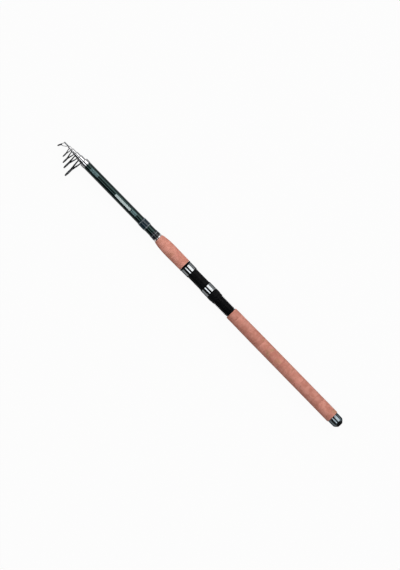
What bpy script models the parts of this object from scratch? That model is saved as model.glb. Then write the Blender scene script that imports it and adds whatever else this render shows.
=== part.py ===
"""A telescopic spinning rod, closed for transport and lying on a table.

The rod runs along +X from its butt cap to its tip, and its guide rings point along +Y.
Five hollow sections slide out of the butt section. Each carries a guide on its front end.
All sizes are in metres, and each piece is modelled from its own rear end on the rod's axis.
"""

import math

import bmesh
import bpy
from mathutils import Matrix, Vector
from mathutils.geometry import interpolate_bezier

for old_object in list(bpy.data.objects):
    bpy.data.objects.remove(old_object, do_unlink=True)

# Fits between pieces
face_gap = 0.0003
glue_line = 0.00015
wrap_lift = 0.0001
slide_clearance = 0.00025
thread_clearance = 0.0002

# Number of flat sides that stand for a round one
handle_sides = 24
tube_sides = 24
thread_sides = 18
ring_sides = 18
wire_sides = 6
leg_points = 5

# Butt section
blank_radius = 0.0080
blank_wall = 0.0012
collar_spigot_step = 0.00035

# Butt cap and the threaded bush that it screws into
cap_length = 0.0206
cap_step = 0.0010
cap_taper = 0.0004
cap_dome_length = 0.0083
cap_end_radius = 0.0055
coin_slot_width = 0.0045
coin_slot_depth = 0.0022
stud_length = 0.0185
stud_radius = 0.00745
stud_wall = 0.00145
stud_neck_length = 0.0022
cap_pitch = 0.0025
cap_thread_depth = 0.0006
bush_thread_length = 0.0170
bush_wall = 0.00195
bush_length = 0.029
seal_wire_radius = 0.0006
pad_length = 0.0080
pad_depth = 0.0010

# Cork grips
cork_over_bush = 0.0026
rear_grip_length = 0.2667
rear_grip_taper = 0.0004
foregrip_length = 0.0684
foregrip_wall = 0.0043
foregrip_nose_length = 0.0300
foregrip_tail_taper = 0.0004
cork_corner = 0.0009

# Reel seat
barrel_wall = 0.00265
deck_wall = 0.0009
foot_pad_rise = 0.0003
thread_pitch = 0.003
thread_depth = 0.0009
thread_margin = 0.0015
nut_stop_gap = 0.0013
nut_length = 0.0172
nut_wall = 0.00095
nut_flute_depth = 0.00025
nut_tail_step = 0.0010
nut_thread_inset = 0.0025
hood_length = 0.0152
hood_wall = 0.00065
hood_rim_length = 0.0015
key_length = 0.0080
deck_length = 0.0337
fixed_hood_length = 0.0149
seat_ring_length = 0.0029
seat_ring_wall = 0.00125
hood_opening_travel = 0.0330
hood_closing_travel = 0.0080

# Trim on the blank
check_length = 0.0034
check_wall = 0.00125
check_slope = 0.0005
rear_wrap_length = 0.0110
rear_wrap_thickness = 0.00085
front_wrap_length = 0.0180
front_wrap_thickness = 0.00085
wrap_end_thickness = 0.00035
blank_between_wraps = 0.0135
collar_length = 0.0088
collar_wall = 0.0006
collar_lip = 0.0010

# Telescoping sections, from the largest to the tip
section_travel = 0.453
nest_rear_space = 0.1126
section_overlaps = (0.070, 0.060, 0.050, 0.042, 0.035)
section_front_radii = (0.0054, 0.0041, 0.00295, 0.00195, 0.0008)
section_walls = (0.0006, 0.0006, 0.00055, 0.00055)
section_flare = 0.00015
section_flare_length = 0.025
sleeve_lengths = (0.0111, 0.0093, 0.0094, 0.0080, 0.0116)
sleeve_wall = 0.00045
sleeve_lip = 0.0006

# Guides, from the largest to the smallest
ring_radii = (0.0105, 0.00875, 0.00725, 0.00575)
ring_heights = (0.0320, 0.02545, 0.02135, 0.01505)
ring_stations = (0.0055, 0.0059, 0.0043, 0.0026)
leg_radii = (0.00085, 0.0008, 0.0007, 0.0005)
frame_halves = (0.0015, 0.0013, 0.0011, 0.0009)
insert_walls = (0.0020, 0.0018, 0.0016, 0.0014)
front_leg_stations = (0.0083, 0.0072, 0.0072, 0.0050)
leg_inset = 1.2
leg_foot_angle = math.radians(40)
leg_knee_share = 0.45
insert_overhang = 0.00025

# Tip-top
tip_ring_radius = 0.00485
tip_ring_height = 0.0091
tip_ring_station = 0.0142
tip_ring_lean = math.radians(23)
tip_insert_wall = 0.0011
tip_brace_radius = 0.0004
tip_brace_station = 0.0022

# Radii and stations that follow from the sizes above
weld_distance = 1e-7
thread_outline = (0.15, 0.25)
bush_bore = stud_radius + face_gap - cap_thread_depth
bush_radius = stud_radius + face_gap + bush_wall
seal_radius = stud_radius - cap_thread_depth + glue_line + 2 * seal_wire_radius
rear_grip_radius = bush_radius + face_gap + cork_over_bush
cap_radius = rear_grip_radius - cap_step
blank_bore = blank_radius - blank_wall
grip_bore = blank_radius + face_gap
foregrip_radius = grip_bore + foregrip_wall
seat_bore = blank_radius + face_gap
seat_radius = seat_bore + barrel_wall
deck_height = seat_bore + deck_wall
pad_height = deck_height + foot_pad_rise
hood_bore = seat_radius + face_gap
hood_radius = hood_bore + hood_wall
nut_radius = seat_radius + face_gap + nut_wall
seat_ring_radius = hood_bore + seat_ring_wall
check_radius = blank_radius + glue_line + check_wall
spigot_radius = blank_radius - collar_spigot_step

cap_shoulder = cap_length
stud_front = cap_shoulder + stud_length
rear_grip_rear = cap_shoulder + face_gap
bush_rear = rear_grip_rear + face_gap
blank_rear = bush_rear + bush_length + face_gap
rear_grip_front = rear_grip_rear + rear_grip_length
seat_rear = rear_grip_front + face_gap
nut_rear = seat_rear + nut_stop_gap + hood_opening_travel
hood_rear = nut_rear + nut_length + face_gap
hood_rim_rear = hood_rear + hood_length + glue_line
fixed_rim_rear = hood_rim_rear + hood_rim_length + deck_length
fixed_hood_rear = fixed_rim_rear + hood_rim_length + glue_line
seat_ring_rear = fixed_hood_rear + fixed_hood_length + face_gap
foregrip_rear = seat_ring_rear + seat_ring_length + face_gap
check_rear = foregrip_rear + foregrip_length + face_gap
rear_wrap_rear = check_rear + check_length + face_gap
front_wrap_rear = rear_wrap_rear + rear_wrap_length + blank_between_wraps
nest_rear = stud_front + nest_rear_space
blank_front = nest_rear + section_travel + section_overlaps[0]
collar_front = blank_front + face_gap + collar_lip
collar_rear = collar_front - collar_length

sleeve_rears = []
for sleeve_length in sleeve_lengths:
    previous_front = sleeve_rears[-1] + sleeve_lengths[len(sleeve_rears) - 1] if sleeve_rears else collar_front
    sleeve_rears.append(previous_front + face_gap)

tip_ring_x = sleeve_rears[-1] + tip_ring_station
tip_insert_half = 2 * tip_brace_radius + insert_overhang
closed_length = (tip_ring_x + tip_ring_radius * math.sin(tip_ring_lean)
                 + tip_insert_half * math.cos(tip_ring_lean))
widest_radius = max(rear_grip_radius, foregrip_radius, seat_ring_radius)
guide_reach = ring_heights[0] + ring_radii[0]


# Materials

def material(name, colour, roughness, metallic=0.0, coat=0.0):
    """A plain surface in the piece's own colour."""
    made = bpy.data.materials.new(name)
    made.use_nodes = True
    shader = made.node_tree.nodes["Principled BSDF"]
    shader.inputs["Base Color"].default_value = (*colour, 1.0)
    shader.inputs["Roughness"].default_value = roughness
    shader.inputs["Metallic"].default_value = metallic
    shader.inputs["Coat Weight"].default_value = coat
    return made


cork = material("cork", (0.60, 0.29, 0.20), 0.75)
lacquered_blank = material("lacquered_blank", (0.012, 0.020, 0.019), 0.18, coat=1.0)
chrome = material("chrome", (0.82, 0.83, 0.85), 0.08, metallic=1.0)
dark_chrome = material("dark_chrome", (0.30, 0.36, 0.39), 0.22, metallic=1.0)
silver_trim = material("silver_trim", (0.72, 0.70, 0.70), 0.20, metallic=1.0)
black_plastic = material("black_plastic", (0.012, 0.013, 0.015), 0.42)
navy_wrap = material("navy_wrap", (0.030, 0.048, 0.075), 0.20, coat=1.0)
charcoal_wrap = material("charcoal_wrap", (0.022, 0.024, 0.030), 0.20, coat=1.0)
rubber = material("rubber", (0.015, 0.015, 0.016), 0.80)
foam = material("foam", (0.05, 0.05, 0.055), 0.95)
ceramic = material("ceramic", (0.008, 0.008, 0.010), 0.12)


# Frames that the pieces hang on

def frame(name, parent, x):
    """An empty on the rod's axis, x in front of the butt end. What moves together hangs on one."""
    empty = bpy.data.objects.new(name, None)
    bpy.context.collection.objects.link(empty)
    empty["station"] = x
    empty.parent = parent
    if parent:
        empty.location.x = x - parent["station"]
    return empty


handle = frame("handle", None, 0.0)
handle.location = (-closed_length / 2, -(guide_reach - widest_radius) / 2, widest_radius)
cap_slide = frame("cap_slide", handle, cap_shoulder)
cap_turn = frame("cap_turn", cap_slide, cap_shoulder)
hood_slide = frame("hood_slide", handle, hood_rear)
nut_turn = frame("nut_turn", hood_slide, nut_rear)


# Shaping

def soften(outline, steps=2):
    """Round each corner that has a third value, the distance at which the rounding starts."""
    points = []
    for index, (x, radius, *corner) in enumerate(outline):
        here = Vector((x, radius))
        if not corner:
            points.append(here)
            continue
        before = Vector(outline[index - 1][:2]) - here
        after = Vector(outline[(index + 1) % len(outline)][:2]) - here
        start = here + before.normalized() * corner[0]
        end = here + after.normalized() * corner[0]
        for step in range(steps + 1):
            share = step / steps
            points.append(start * (1 - share) ** 2 + here * 2 * share * (1 - share) + end * share ** 2)
    return points


def turned(outline_at, sides):
    """Turn an outline about the X axis. outline_at(turn) gives its points at that share of a turn."""
    mesh = bmesh.new()
    columns = []
    for side in range(sides + 1):
        turn = side / sides
        angle = 2 * math.pi * turn
        columns.append([mesh.verts.new((x, radius * math.cos(angle), radius * math.sin(angle)))
                        for x, radius in outline_at(turn)])
    for left, right in zip(columns, columns[1:]):
        for index, corner in enumerate(left):
            follower = (index + 1) % len(left)
            mesh.faces.new((corner, left[follower], right[follower], right[index]))
    bmesh.ops.remove_doubles(mesh, verts=mesh.verts, dist=weld_distance)
    bmesh.ops.dissolve_degenerate(mesh, dist=weld_distance, edges=mesh.edges)
    bmesh.ops.delete(mesh, geom=[edge for edge in mesh.edges if edge.is_wire], context="EDGES")
    return mesh


def thread_points(start, end, phase, pitch, root, crest, turn):
    """One column of a screw thread from start to end, whose ridges run out into the root at both ends.

    A ridge's middle is at phase plus a whole number of pitches, plus the share of a turn.
    """
    crest_half, root_half = (share * pitch for share in thread_outline)
    if crest < root:
        crest_half = pitch / 2 - root_half - thread_clearance
        root_half = crest_half + (thread_outline[1] - thread_outline[0]) * pitch
    points = []
    first = math.floor((start - phase) / pitch) - 1
    last = math.ceil((end - phase) / pitch) + 1
    for ridge in range(first, last + 1):
        middle = phase + pitch * (ridge + turn)
        for offset, top in ((-root_half, 0), (-crest_half, 1), (crest_half, 1), (root_half, 0)):
            x = min(max(middle + offset, start), end)
            height = min((x - start) / pitch, (end - x) / pitch, 1) * top
            points.append(Vector((x, root + (crest - root) * height)))
    return points


def sweep(mesh, points, radius, sides=wire_sides):
    """Add a round wire with closed ends along the points."""
    rings = []
    side = None
    for index, point in enumerate(points):
        ahead = points[min(index + 1, len(points) - 1)]
        behind = points[max(index - 1, 0)]
        along = (ahead - behind).normalized()
        side = along.orthogonal().normalized() if side is None else last_along.rotation_difference(along) @ side
        last_along = along
        across = along.cross(side)
        angles = [2 * math.pi * step / sides for step in range(sides)]
        rings.append([mesh.verts.new(point + (side * math.cos(angle) + across * math.sin(angle)) * radius)
                      for angle in angles])
    for near, far in zip(rings, rings[1:]):
        for step in range(sides):
            follower = (step + 1) % sides
            mesh.faces.new((near[step], near[follower], far[follower], far[step]))
    mesh.faces.new(rings[0])
    mesh.faces.new(rings[-1])


def piece(name, mesh, surface, parent, x):
    """Finish a mesh as a named object, with its rear end x in front of the butt end."""
    bmesh.ops.recalc_face_normals(mesh, faces=mesh.faces)
    data = bpy.data.meshes.new(name)
    mesh.to_mesh(data)
    mesh.free()
    data.shade_smooth()
    data.set_sharp_from_angle(angle=math.radians(35))
    made = bpy.data.objects.new(name, data)
    bpy.context.collection.objects.link(made)
    made.data.materials.append(surface)
    made.parent = parent
    made.location.x = x - parent["station"]
    return made


def turned_piece(name, outline, surface, parent, x, sides=handle_sides):
    """A piece turned from one outline, given along the outside and back along the bore."""
    points = soften(outline)
    return piece(name, turned(lambda turn: points, sides), surface, parent, x)


def helper(made):
    """Keep an object as the shape that another one is joined with or cut by."""
    made.hide_render = True
    made.display_type = "WIRE"
    return made


def combine(target, tool, operation):
    """Join the target with a helper, or cut it by one."""
    boolean = target.modifiers.new(operation.lower(), "BOOLEAN")
    boolean.operation = operation
    boolean.solver = "EXACT"
    boolean.object = helper(tool)


def box(name, low, high, parent, x):
    """A plain block between two corners."""
    mesh = bmesh.new()
    bmesh.ops.create_cube(mesh, size=1.0)
    size = Vector(high) - Vector(low)
    middle = (Vector(high) + Vector(low)) / 2
    bmesh.ops.transform(mesh, matrix=Matrix.Translation(middle) @ Matrix.Diagonal((*size, 1.0)), verts=mesh.verts)
    return piece(name, mesh, black_plastic, parent, x)


def prism(name, outline, half_width, parent, x):
    """A block with a side outline of (x, z) points, the same all the way across."""
    mesh = bmesh.new()
    near, far = ([mesh.verts.new((along, across, up)) for along, up in outline]
                 for across in (-half_width, half_width))
    for index in range(len(outline)):
        mesh.faces.new((near[index - 1], near[index], far[index], far[index - 1]))
    mesh.faces.new(near)
    mesh.faces.new(far)
    return piece(name, mesh, black_plastic, parent, x)


# Butt section and its trim

def make_blank():
    """The butt tube, stepped down at its front end for the collar."""
    length = blank_front - blank_rear
    step = collar_rear - face_gap - blank_rear
    turned_piece("butt_blank", [
        (0, blank_radius), (step, blank_radius), (step, spigot_radius), (length, spigot_radius),
        (length, blank_bore), (0, blank_bore)], lacquered_blank, handle, blank_rear)


def make_collar():
    """The ring that closes the blank's front edge, with a lip over the end of the tube."""
    inside = spigot_radius + glue_line
    outside = inside + collar_wall
    seat = collar_length - collar_lip
    turned_piece("front_collar", [
        (0, outside, 0.0002), (collar_length, outside, 0.0004), (collar_length, blank_bore),
        (seat, blank_bore), (seat, inside), (0, inside)], chrome, handle, collar_rear)


def make_wraps():
    """Two lacquered thread wraps: a bulge in front, and one that tapers away from the grip."""
    inside = blank_radius + wrap_lift
    thin = blank_radius + wrap_end_thickness
    thick = blank_radius + front_wrap_thickness
    shoulder = front_wrap_length * 0.18
    turned_piece("front_wrap", [
        (0, thin), (shoulder, thick, 0.001), (front_wrap_length - shoulder, thick, 0.001),
        (front_wrap_length, thin), (front_wrap_length, inside), (0, inside)],
        navy_wrap, handle, front_wrap_rear)
    thick = blank_radius + rear_wrap_thickness
    turned_piece("rear_wrap", [
        (0, thick), (rear_wrap_length, thin), (rear_wrap_length, inside), (0, inside)],
        charcoal_wrap, handle, rear_wrap_rear)


def make_winding_check():
    """The bright ring between the foregrip and the rear wrap."""
    inside = blank_radius + glue_line
    turned_piece("winding_check", [
        (0, check_radius, 0.0003), (check_length, check_radius - check_slope, 0.0006),
        (check_length, inside), (0, inside)], silver_trim, handle, check_rear)


# Grips

def make_foregrip():
    """The front cork, drawn in to a slim nose by a rounded curve."""
    outline = [(0, foregrip_radius - foregrip_tail_taper, cork_corner)]
    steps = 8
    for step in range(steps + 1):
        share = 1 - (step / steps) ** 1.6
        fullness = (1 - (1 - share) ** 2) ** 0.75
        outline.append((foregrip_length - foregrip_nose_length * share,
                        check_radius + (foregrip_radius - check_radius) * fullness))
    outline += [(foregrip_length, grip_bore), (0, grip_bore)]
    turned_piece("foregrip", outline, cork, handle, foregrip_rear)


def make_rear_grip():
    """The long cork behind the reel, bored wider at the rear for the bush."""
    bush_pocket = blank_rear - rear_grip_rear
    pocket_radius = bush_radius + face_gap
    turned_piece("rear_grip", [
        (0, rear_grip_radius, cork_corner),
        (rear_grip_length * 0.75, rear_grip_radius),
        (rear_grip_length, rear_grip_radius - rear_grip_taper, cork_corner),
        (rear_grip_length, grip_bore), (bush_pocket, grip_bore),
        (bush_pocket, pocket_radius), (0, pocket_radius)], cork, handle, rear_grip_rear)


# Butt cap

def make_butt_bush():
    """The glued socket with the thread that the cap screws into."""
    major = stud_radius + face_gap
    pocket = seal_radius + glue_line
    recess = stud_neck_length

    def outline_at(turn):
        thread = thread_points(recess, recess + bush_thread_length, cap_shoulder + cap_pitch / 2 - bush_rear,
                               cap_pitch, major, bush_bore, turn)
        return [Vector((0, pocket)), Vector((0, bush_radius)), Vector((bush_length, bush_radius)),
                Vector((bush_length, major)), *reversed(thread), Vector((recess, pocket))]

    piece("butt_bush", turned(outline_at, thread_sides), black_plastic, handle, bush_rear)


def make_butt_cap():
    """The domed cap with its coin slot and its hollow threaded stud."""
    neck = stud_radius - cap_thread_depth
    stud_bore = stud_radius - stud_wall
    bore_floor = cap_length - stud_neck_length
    tip_of_stud = cap_length + stud_length
    dome = soften([
        (cap_length, cap_radius, 0.0003), (cap_dome_length, cap_radius - cap_taper, 0.0015),
        (0, cap_end_radius, 0.0015), (0, 0)], steps=4)

    def outline_at(turn):
        thread = thread_points(cap_length + stud_neck_length, tip_of_stud, cap_length, cap_pitch,
                               neck, stud_radius, turn)
        bore = [Vector((tip_of_stud, stud_bore)), Vector((bore_floor, stud_bore)), Vector((bore_floor, 0))]
        return [*dome[:0:-1], dome[0], Vector((cap_length, neck)), *thread, *bore]

    cap = piece("butt_cap", turned(outline_at, thread_sides), dark_chrome, cap_turn, 0.0)
    reach = cap_radius * 2
    slot = box("coin_slot", (-coin_slot_depth, -reach, -coin_slot_width / 2),
               (coin_slot_depth, reach, coin_slot_width / 2), cap_turn, 0.0)
    combine(cap, slot, "DIFFERENCE")


def make_cap_seal():
    """The rubber ring around the stud's neck, between the cap and the bush."""
    steps = 6
    outline = []
    for step in range(steps):
        angle = 2 * math.pi * step / steps
        outline.append((seal_wire_radius * (1 - math.cos(angle)),
                        seal_radius - seal_wire_radius * (1 - math.sin(angle))))
    turned_piece("cap_seal", outline, rubber, cap_slide, rear_grip_rear + face_gap, tube_sides)


def make_cap_pad():
    """The soft pad in the stud that would catch a section that slipped back."""
    pad_radius = stud_radius - stud_wall - face_gap
    turned_piece("cap_pad", [(0, 0), (0, pad_radius), (pad_length, pad_radius, 0.0006), (pad_length, 0)],
                 foam, cap_slide, stud_front - pad_depth - pad_length, tube_sides)


# Reel seat

def make_seat_barrel():
    """The seat's tube, threaded behind and flat along its underside for the reel's foot.

    The foot lies on a slightly raised pad between the two hoods.
    """
    length = seat_ring_rear + seat_ring_length - seat_rear
    thread_start = thread_margin
    thread_end = nut_rear + nut_length + hood_closing_travel - seat_rear
    root = seat_radius - thread_depth

    def outline_at(turn):
        thread = thread_points(thread_start, thread_end, 0.0, thread_pitch, root, seat_radius, turn)
        step = thread_end + thread_margin
        return [Vector((0, root)), *thread, Vector((step, seat_radius)), Vector((length, seat_radius)),
                Vector((length, seat_bore)), Vector((0, seat_bore))]

    barrel = piece("seat_barrel", turned(outline_at, thread_sides), black_plastic, handle, seat_rear)
    flat_front = fixed_rim_rear + hood_rim_length + key_length - seat_rear
    pad_rear = hood_rim_rear + hood_rim_length + face_gap - seat_rear
    pad_front = fixed_rim_rear - face_gap - seat_rear
    reach = seat_radius * 1.2
    flat = prism("foot_flat", [
        (-thread_margin, -2 * reach), (flat_front, -2 * reach), (flat_front, -deck_height),
        (pad_front, -deck_height), (pad_front, -pad_height), (pad_rear, -pad_height),
        (pad_rear, -deck_height), (-thread_margin, -deck_height)], reach, handle, seat_rear)
    combine(barrel, flat, "DIFFERENCE")


def make_hood(name, length, parent, x, front_open):
    """A chromed hood, open towards the reel's foot and turned in slightly at its closed end."""
    open_corner, closed_corner = 0.0002, 0.0006
    rear_corner, front_corner = (closed_corner, open_corner) if front_open else (open_corner, closed_corner)
    turned_piece(name, [
        (0, hood_radius, rear_corner), (length, hood_radius, front_corner),
        (length, hood_bore), (0, hood_bore)], chrome, parent, x)


def make_rim(name, parent, x):
    """The black lip at a hood's mouth."""
    turned_piece(name, [
        (0, hood_radius, 0.0003), (hood_rim_length, hood_radius, 0.0003),
        (hood_rim_length, hood_bore), (0, hood_bore)], black_plastic, parent, x)


def make_hood_key():
    """The block that closes the moving hood's pocket and slides on the seat's flat, so the hood can't turn."""
    outer = hood_bore - face_gap
    underside = deck_height + face_gap
    half_angle = math.acos(underside / outer)
    steps = 8
    mesh = bmesh.new()
    ends = []
    for x in (0, key_length):
        angles = [half_angle * (2 * step / steps - 1) for step in range(steps + 1)]
        ends.append([mesh.verts.new((x, outer * math.sin(angle), -outer * math.cos(angle))) for angle in angles])
    for near, far in zip(ends[0], ends[0][1:]):
        index = ends[0].index(near)
        mesh.faces.new((near, far, ends[1][index + 1], ends[1][index]))
    mesh.faces.new((ends[0][-1], ends[0][0], ends[1][0], ends[1][-1]))
    mesh.faces.new(ends[0])
    mesh.faces.new(ends[1])
    piece("hood_key", mesh, black_plastic, hood_slide, hood_rear + face_gap)


def make_lock_nut():
    """The fluted nut that drives the moving hood along the seat's thread."""
    major = seat_radius + face_gap
    minor = major - thread_depth
    thread_start = nut_thread_inset
    thread_end = nut_length - nut_thread_inset
    tail_radius = nut_radius - nut_tail_step

    def outline_at(turn):
        thread = thread_points(thread_start, thread_end, seat_rear + thread_pitch / 2 - nut_rear, thread_pitch,
                               major, minor, turn)
        flute = nut_flute_depth * (round(turn * thread_sides) % 2)
        outside = soften([
            (0, major + (nut_radius - major) * 0.3, 0.0001), (nut_length * 0.12, tail_radius),
            (nut_length * 0.45, nut_radius - flute, 0.0030), (nut_length * 0.93, nut_radius - flute),
            (nut_length, nut_radius - nut_flute_depth, 0.0003)], steps=2)
        return [Vector((0, major)), *outside, Vector((nut_length, major)), *reversed(thread)]

    piece("lock_nut", turned(outline_at, thread_sides), black_plastic, nut_turn, nut_rear)


def make_seat_ring():
    """The black ring between the fixed hood and the foregrip."""
    turned_piece("seat_ring", [
        (0, seat_ring_radius, 0.0004), (seat_ring_length, seat_ring_radius, 0.0004),
        (seat_ring_length, hood_bore), (0, hood_bore)], black_plastic, handle, seat_ring_rear)


# Telescoping sections and their guides

def section_bore(index):
    """The bore at the front end of a section, or of the butt blank for index -1."""
    if index < 0:
        return blank_bore
    return section_front_radii[index] - section_walls[index]


def section_front(index):
    """Where a section's tube ends, just behind its sleeve's lip."""
    if index < 0:
        return blank_front
    return sleeve_rears[index] + sleeve_lengths[index] - sleeve_lip - face_gap


def section_rear(index):
    """Where a section's tube starts, so that the full travel leaves its overlap in the next one."""
    return section_front(index - 1) - section_travel - section_overlaps[index]


def make_section(index, parent):
    """One tapered tube with a flared rear end. The last one is a solid tip."""
    length = section_front(index) - section_rear(index)
    front = section_front_radii[index]
    rear = section_bore(index - 1) - slide_clearance
    outline = [(0, rear), (section_flare_length, rear - section_flare), (length, front)]
    if index < len(section_walls):
        wall = section_walls[index]
        outline += [(length, front - wall), (0, rear - wall)]
    else:
        outline += [(length, 0), (0, 0)]
    turned_piece(f"section_{index + 1}", outline, lacquered_blank, parent, section_rear(index), tube_sides)


def leg(foot, foot_radius, foot_angle, knee, ring_height, ring_side, end_x):
    """Points of one guide leg, from the side of its sleeve up to the side of its ring."""
    outward = Vector((0, math.cos(foot_angle), math.sin(foot_angle)))
    start = Vector((foot, 0, 0)) + outward * foot_radius
    end = Vector((end_x, ring_height, ring_side))
    rise = ring_height - foot_radius
    bend = start + outward * rise * knee
    swing = Vector((end_x, ring_height - rise * knee, ring_side * 1.25))
    return interpolate_bezier(start, bend, swing, end, leg_points)


def ring_outline(inner, outer, half_length, corner):
    """A ring's outline around its own middle."""
    return [(-half_length, outer, corner), (half_length, outer, corner),
            (half_length, inner, corner), (-half_length, inner, corner)]


def make_guide(index, parent):
    """A guide: its sleeve, two pairs of legs and the frame of its ring, with the ceramic ring inside."""
    number = index + 1
    rear = sleeve_rears[index]
    length = sleeve_lengths[index]
    inside = section_front_radii[index] + glue_line
    outside = inside + sleeve_wall
    bore = section_bore(index)
    sleeve = turned_piece(f"guide_frame_{number}", [
        (0, outside), (length, outside, 0.0003), (length, bore),
        (length - sleeve_lip, bore), (length - sleeve_lip, inside), (0, inside)],
        chrome, parent, rear, ring_sides)

    wire = leg_radii[index]
    ring_radius = ring_radii[index]
    height = ring_heights[index]
    station = ring_stations[index]
    frame_wall = 2 * wire
    frame_half = frame_halves[index]
    leg_spread = frame_half - leg_inset * wire
    for side in (-1, 1):
        for foot, end_x in ((2 * wire, station - leg_spread), (front_leg_stations[index], station + leg_spread)):
            wire_leg = bmesh.new()
            sweep(wire_leg, leg(foot, outside - sleeve_wall / 3, side * leg_foot_angle, leg_knee_share,
                                height, side * (ring_radius - frame_wall / 2), end_x), wire)
            combine(sleeve, piece(f"guide_leg_{number}", wire_leg, chrome, parent, rear), "UNION")

    holder = turned(lambda turn: soften(ring_outline(
        ring_radius - frame_wall, ring_radius, frame_half, wire / 2), steps=1), ring_sides)
    bmesh.ops.translate(holder, vec=(station, height, 0), verts=holder.verts)
    combine(sleeve, piece(f"guide_ring_{number}", holder, chrome, parent, rear), "UNION")

    insert_radius = ring_radius - frame_wall - glue_line
    insert = turned(lambda turn: soften(ring_outline(
        insert_radius - insert_walls[index], insert_radius, frame_half + insert_overhang, wire), steps=1), ring_sides)
    bmesh.ops.translate(insert, vec=(station, height, 0), verts=insert.verts)
    piece(f"guide_insert_{number}", insert, ceramic, parent, rear)


def make_tip_top(parent):
    """The tip's small leaning ring on its own tube, held by two braces and a short strut."""
    rear = sleeve_rears[-1]
    length = sleeve_lengths[-1]
    inside = section_front_radii[-1] + glue_line
    outside = inside + sleeve_wall
    tube = turned_piece("tip_frame", [
        (0, outside), (length, outside, 0.0002), (length, inside), (0, inside)],
        chrome, parent, rear, ring_sides)

    frame_wall = 2.5 * tip_brace_radius
    frame_half = 2 * tip_brace_radius
    seat = Matrix.Translation((tip_ring_station, tip_ring_height, 0)) @ Matrix.Rotation(-tip_ring_lean, 4, "Z")
    braces = bmesh.new()
    grip = outside - sleeve_wall / 3
    for side in (-1, 1):
        foot = Vector((tip_brace_station, grip * math.cos(leg_foot_angle), side * grip * math.sin(leg_foot_angle)))
        outward = Vector((0, math.cos(leg_foot_angle), side * math.sin(leg_foot_angle)))
        end = seat @ Vector((0, 0, side * (tip_ring_radius - frame_wall / 2)))
        bend = foot + outward * tip_ring_height * 0.3
        swing = end + Vector((-tip_ring_height * 0.5, -tip_ring_height * 0.2, side * tip_ring_radius * 0.2))
        sweep(braces, interpolate_bezier(foot, bend, swing, end, leg_points), tip_brace_radius)
    strut_foot = Vector((length - 2 * tip_brace_radius, grip, 0))
    strut_end = seat @ Vector((0, -(tip_ring_radius - frame_wall / 2), 0))
    sweep(braces, [strut_foot, strut_end], tip_brace_radius)
    combine(tube, piece("tip_braces", braces, chrome, parent, rear), "UNION")

    holder = turned(lambda turn: soften(ring_outline(
        tip_ring_radius - frame_wall, tip_ring_radius, frame_half, tip_brace_radius / 2), steps=1), ring_sides)
    bmesh.ops.transform(holder, matrix=seat, verts=holder.verts)
    combine(tube, piece("tip_ring", holder, chrome, parent, rear), "UNION")

    insert_radius = tip_ring_radius - frame_wall - glue_line
    insert = turned(lambda turn: soften(ring_outline(
        insert_radius - tip_insert_wall, insert_radius, tip_insert_half, tip_brace_radius), steps=1), ring_sides)
    bmesh.ops.transform(insert, matrix=seat, verts=insert.verts)
    piece("tip_insert", insert, ceramic, parent, rear)


def make_sections():
    """The nest of sections, each sliding in the one before it, with a guide that turns with it."""
    carrier = handle
    for index, rear in enumerate(sleeve_rears):
        carrier = frame(f"section_{index + 1}_slide", carrier, rear)
        make_section(index, carrier)
        turner = frame(f"section_{index + 1}_turn", carrier, rear)
        if index < len(ring_radii):
            make_guide(index, turner)
        else:
            make_tip_top(turner)


make_blank()
make_collar()
make_wraps()
make_winding_check()
make_foregrip()
make_rear_grip()
make_butt_bush()
make_butt_cap()
make_cap_seal()
make_cap_pad()
make_seat_barrel()
make_hood("moving_hood", hood_length, hood_slide, hood_rear, front_open=True)
make_rim("moving_hood_rim", hood_slide, hood_rim_rear)
make_hood_key()
make_lock_nut()
make_rim("fixed_hood_rim", handle, fixed_rim_rear)
make_hood("fixed_hood", fixed_hood_length, handle, fixed_hood_rear, front_open=False)
make_seat_ring()
make_sections()
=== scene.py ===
"""Looks of a telescopic spinning rod, closed and lying on a pale table.

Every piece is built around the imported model: its places and radii come from the nodes' boxes.
The rod lies along +X, its guide rings point along +Y, and all sizes are in metres.
An outline is a list of corners: a place along the rod, a radius and, where the corner is rounded,
the distance from the corner at which the rounding starts.
"""

import math
import random

import bmesh
import bpy
import numpy as np
from mathutils import Matrix, Vector, noise
from mathutils.geometry import interpolate_bezier


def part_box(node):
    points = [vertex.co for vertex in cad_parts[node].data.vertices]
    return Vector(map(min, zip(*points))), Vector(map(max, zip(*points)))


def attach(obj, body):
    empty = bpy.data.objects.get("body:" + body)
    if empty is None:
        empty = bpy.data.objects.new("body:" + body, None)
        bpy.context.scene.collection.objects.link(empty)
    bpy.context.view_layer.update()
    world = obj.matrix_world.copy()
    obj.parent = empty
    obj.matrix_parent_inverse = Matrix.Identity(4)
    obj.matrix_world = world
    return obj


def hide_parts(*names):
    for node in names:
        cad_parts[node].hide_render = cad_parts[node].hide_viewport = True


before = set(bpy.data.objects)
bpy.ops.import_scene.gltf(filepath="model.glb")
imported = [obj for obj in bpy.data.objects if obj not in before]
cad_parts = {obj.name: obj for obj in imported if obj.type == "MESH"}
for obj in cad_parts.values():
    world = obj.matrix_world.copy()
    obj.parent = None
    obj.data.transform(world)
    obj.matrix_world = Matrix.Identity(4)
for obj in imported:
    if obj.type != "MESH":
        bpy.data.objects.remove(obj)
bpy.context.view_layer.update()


# Sizes that the nodes' boxes give

def span(node):
    """Where a node starts and ends along the rod."""
    low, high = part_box(node)
    return low.x, high.x


def radius_of(node):
    """Half a round node's height."""
    low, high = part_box(node)
    return (high.z - low.z) / 2


def centre_of(node):
    """The middle of a node's box."""
    low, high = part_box(node)
    return (low + high) / 2


AXIS = Vector((0, *centre_of("rear_grip")[1:]))
BUTT = span("butt_cap")[0]
GRIP = radius_of("rear_grip")
BLANK = radius_of("butt_blank")
HOOD = radius_of("fixed_hood")
CHECK = radius_of("winding_check")

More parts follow.
